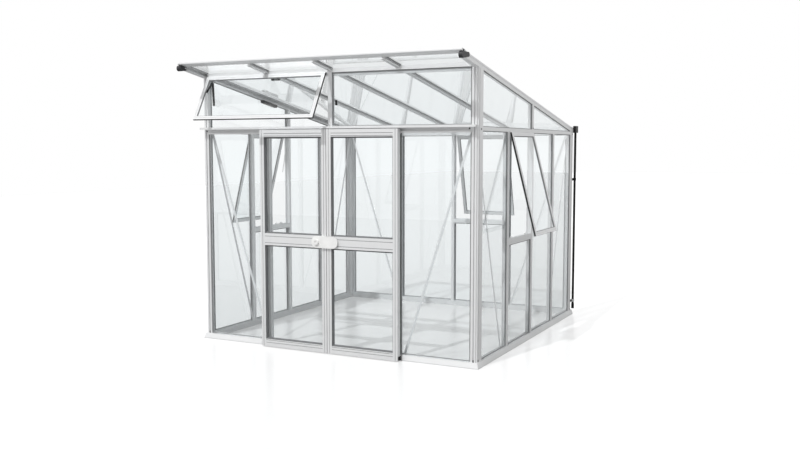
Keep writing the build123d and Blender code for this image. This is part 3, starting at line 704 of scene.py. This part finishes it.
def make_bolt_caps():
    """Dark caps on the bolts that hold the rails to the posts."""
    piece = Piece("bolt_caps", "root", "black_plastic", BLACK_RUBBER)
    for x, z in FRONT_CAPS:
        piece.dome_screw((x, 0.0, z), (0, -1, 0), CAP_SIZE)
    for side in (1, -1):
        for out, y, z in SIDE_CAPS:
            piece.dome_screw((side * (HALF_WIDTH + out), y, z), (side, 0, 0), CAP_SIZE)
    x, z = BACK_CAP
    for side in (1, -1):
        piece.dome_screw((side * x, DEPTH, z), (0, 1, 0), CAP_SIZE)
    piece.finish_piece()


def make_groove_plugs():
    """Plugs at the foot of the grooves on both faces of each corner post."""
    piece = Piece("post_groove_plugs", "root", "black_plastic", BLACK_RUBBER, bevel=0.0008)
    near = POST_GROOVE[0] + PLUG_CLEARANCE
    far = POST_GROOVE[1] - PLUG_CLEARANCE
    foot = SILL_TOP + PLUG_LIFT
    for side in (-1, 1):
        for wall, inwards in ((0.0, 1), (DEPTH, -1)):
            piece.block(
                (side * (HALF_WIDTH - near), wall - inwards * PLUG_PROUD, foot),
                (side * (HALF_WIDTH - far), wall + inwards * PLUG_DEPTH, PLUG_TOP),
            )
            piece.block(
                (side * (HALF_WIDTH + PLUG_PROUD), wall + inwards * near, foot),
                (side * (HALF_WIDTH - PLUG_DEPTH), wall + inwards * far, PLUG_TOP),
            )
    piece.finish_piece()


def wall_place(wall, along, inwards, up):
    """A place by a wall: along it from its middle, inwards from its outer face, and up."""
    if wall == "front":
        return (along, inwards, up)
    if wall == "back":
        return (along, DEPTH - inwards, up)
    side = -1 if wall == "left" else 1
    return (side * (HALF_WIDTH - inwards), DEPTH / 2 + along, up)


def make_bar_clips():
    """Spring clips that hold the panes on the wall bars."""
    piece = Piece("bar_clips", "root", "silver_aluminium", ALUMINIUM["z"], bevel=0.0006)
    near = BAR_FACE - CLIP_PROUD
    far = BAR_DEPTH + CLIP_PROUD
    for wall in ("left", "right", "back"):
        for bar in BAR_PLACES:
            for level in CLIP_LEVELS:
                for edge in (bar - BAR_HALF_WIDTH, bar + BAR_HALF_WIDTH):
                    piece.block(
                        wall_place(wall, edge - CLIP_HALF_WIDTH, near, level),
                        wall_place(wall, edge + CLIP_HALF_WIDTH, far, level + CLIP_HEIGHT),
                    )
    piece.finish_piece()


def make_brace_bolts():
    """A bolt at each end of the flat braces."""
    piece = Piece("brace_bolts", "root", "silver_aluminium", ALUMINIUM["z"])
    face = BAR_DEPTH + BRACE_THICKNESS
    for side in (-1, 1):
        for run, level in BRACE_BOLTS:
            for wall in ("front", "back", "left", "right"):
                piece.dome_screw(wall_place(wall, side * run, face, level), WAYS_IN[wall], BRACE_BOLT_SIZE)
    piece.finish_piece()


def strap(piece, start, end, width, thickness, across):
    """A flat bar with rounded ends between two points; its width lies square to its run."""
    start = Vector(start)
    end = Vector(end)
    along = (end - start).normalized()
    normal = Vector(across)
    normal = (normal - along * normal.dot(along)).normalized()
    side = along.cross(normal)
    half = width / 2
    steps = 8
    outline = []
    for centre, turn in ((end, 1), (start, -1)):
        for step in range(steps + 1):
            angle = math.pi * (step / steps - 0.5)
            outline.append(centre + (along * math.cos(angle) * turn + side * math.sin(angle) * turn) * half)
    outline = [p - normal * thickness / 2 for p in outline]
    piece.prism(outline, normal * thickness)


def make_window_stays():
    """Black stays, hinge parts and the opener of the open windows."""
    piece = Piece("window_stays", "root", "black_plastic", FINISHES["black_plastic"], bevel=0.0012)
    upright_head = (-1.188, 0.020, 2.225)
    upright_foot = (-1.180, 0.020, 2.045)
    strap(piece, upright_head, upright_foot, width=0.022, thickness=0.006, across=(0, 1, 0))
    arm_head = (-1.186, 0.012, 2.232)
    arm_foot = (-1.160, -0.098, 2.150)
    strap(piece, arm_head, arm_foot, width=0.018, thickness=0.006, across=(1, 0, 0))
    hinge_left = (-0.600, 0.046, 2.236)
    hinge_right = (-0.520, 0.070, 2.252)
    piece.block(hinge_left, hinge_right)
    make_opener(piece)
    back_head = (0.585, 2.548, 1.700)
    back_foot = (0.585, 2.700, 1.180)
    strap(piece, back_head, back_foot, width=0.016, thickness=0.006, across=(1, 0, 0))
    latch_foot = (0.020, 0.046, 2.020)
    latch_head = (0.034, 0.060, 2.062)
    piece.block(latch_foot, latch_head)
    piece.finish_piece()


def make_opener(piece):
    """The opener's housing, under the left rake and in line with the roof."""
    x = -1.2560
    y = 0.960
    rake_depth = 0.0462
    half_width = 0.018
    half_length = 0.115
    height = 0.026
    z = FRONT_HEIGHT - rake_depth - ROOF_SLOPE * y
    piece.block(
        (x - half_width, y - half_length, z - height),
        (x + half_width, y + half_length, z),
        turn=Matrix.Rotation(-math.atan(ROOF_SLOPE), 3, "X"),
        about=(x, y, z),
    )


def make_window_catches():
    """Pale catches on the rails under the side windows, and the left window's stay."""
    piece = Piece("window_catches", "root", "white_plastic", FINISHES["white_plastic"], bevel=0.0012)
    middle = 1.262
    half_width = 0.004
    half_length = 0.014
    foot = 0.9305
    head = 0.944
    for side, places in ((-1, (1.062, 1.146)), (1, (0.790, 1.160))):
        x = side * middle
        for y in places:
            piece.block((x - half_width, y - half_length, foot), (x + half_width, y + half_length, head))
    stay_head = (-1.262, 1.252, 1.690)
    stay_foot = (-1.300, 1.244, 1.440)
    strap(piece, stay_head, stay_foot, width=0.010, thickness=0.004, across=(0, 1, 0))
    piece.finish_piece()


def make_pipe_band():
    """The pale band of the pipe's lower bracket."""
    piece = Piece("pipe_band", "root", "silver_aluminium", ALUMINIUM["z"])
    rim, face = BAND_RADII
    rings = [(rim, 0.0), (face, BAND_EDGE), (face, BAND_HEIGHT - BAND_EDGE), (rim, BAND_HEIGHT)]
    piece.turned((*PIPE_CENTRE, BAND_FOOT), (0, 0, 1), rings, BAND_COUNT)
    piece.finish_piece()


def make_rail_screws():
    """Pale screws that hold the moulded caps on the front rail."""
    piece = Piece("cap_screws", "root", "silver_aluminium", ALUMINIUM["z"])
    x, y, z = RAIL_SCREW
    for side in (-1, 1):
        piece.dome_screw((side * x, y, z), (-side, 0, 0), RAIL_SCREW_SIZE)
    piece.finish_piece()


def make_painted_groove_shade(body, low, high):
    """Dark grey strips in the grooves along a leaf's stiles and rails, on both faces: painted shade that
    darkens the grooves.
    """
    piece = Piece(body + "_painted_groove_shade", body, "silver_aluminium", GROOVE_SHADE_GREY)
    mid_foot, mid_height = LEAF_MID_RAIL
    levels = [low.z + share * LEAF_BOTTOM_RAIL for share in BOTTOM_RAIL_LINES]
    levels += [mid_foot + share * mid_height for share in MID_RAIL_LINES]
    levels += [high.z - (1 - share) * LEAF_TOP_RAIL for share in TOP_RAIL_LINES]
    half = GROOVE_SHADE_HALF_WIDTH
    shallow, deep = GROOVE_SHADE_DEPTHS
    for y0, y1 in ((low.y + shallow, low.y + deep), (high.y - deep, high.y - shallow)):
        for x in (low.x + LEAF_STILE / 2, high.x - LEAF_STILE / 2):
            piece.block((x - half, y0, low.z + GROOVE_SHADE_END), (x + half, y1, high.z - GROOVE_SHADE_END))
        for z in levels:
            piece.block((low.x + LEAF_STILE, y0, z - half), (high.x - LEAF_STILE, y1, z + half))
    piece.finish_piece()


def make_leaf_screws(body, sign, inner_end, outer_end, low, high):
    """Screws on a leaf's outer face, near the corners."""
    piece = Piece(body + "_screws", body, "silver_aluminium", ALUMINIUM["z"])
    for x in (inner_end + sign * LEAF_SCREW_INNER, outer_end - sign * LEAF_SCREW_OUTER):
        for z in (low.z + LEAF_SCREW_FOOT, high.z - LEAF_SCREW_HEAD):
            piece.dome_screw((x, low.y, z), (0, -1, 0), LEAF_SCREW_SIZE)
    piece.finish_piece()


def make_brush(body, sign, outer_end, low, high):
    """The brush that closes the gap behind a leaf's outer stile."""
    piece = Piece(body + "_brush_seals", body, "black_plastic", BLACK_RUBBER)
    near, far = BRUSH_ENDS
    piece.block(
        (outer_end - sign * near, high.y - BRUSH_SEAT, low.z + BRUSH_END_GAP),
        (outer_end - sign * far, high.y + BRUSH_REACH, high.z - BRUSH_END_GAP),
    )
    piece.finish_piece()


def make_end_stop(body, sign, outer_end, low, high):
    """The stop at the foot of a leaf's outer end."""
    piece = Piece(body + "_end_stop", body, "black_plastic", FINISHES["black_plastic"], bevel=0.003)
    deep, shallow = STOP_DEPTHS
    foot, head = STOP_HEIGHTS
    piece.block(
        (outer_end - sign * STOP_SEAT, high.y - deep, low.z + foot),
        (outer_end + sign * STOP_REACH, high.y - shallow, low.z + head),
    )
    piece.finish_piece()


def make_door_fittings():
    """Painted groove shade, screws, brushes and end stops that travel with the leaves."""
    for body, sign in (("door_left", -1), ("door_right", 1)):
        low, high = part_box(body + "_frame")
        inner_end, outer_end = (high.x, low.x) if sign < 0 else (low.x, high.x)
        make_painted_groove_shade(body, low, high)
        make_leaf_screws(body, sign, inner_end, outer_end, low, high)
        make_brush(body, sign, outer_end, low, high)
        make_end_stop(body, sign, outer_end, low, high)


make_world()
make_floor()
make_sun()
make_camera()
dress_nodes()
make_seals()
make_weather_strips()
make_bolt_caps()
make_groove_plugs()
make_bar_clips()
make_brace_bolts()
make_window_stays()
make_window_catches()
make_pipe_band()
make_rail_screws()
make_door_fittings()

scene = bpy.context.scene
scene.view_settings.view_transform = "Standard"
scene.cycles.transparent_max_bounces = 48
scene.cycles.max_bounces = 24
scene.cycles.transmission_bounces = 24
scene.cycles.caustics_refractive = False
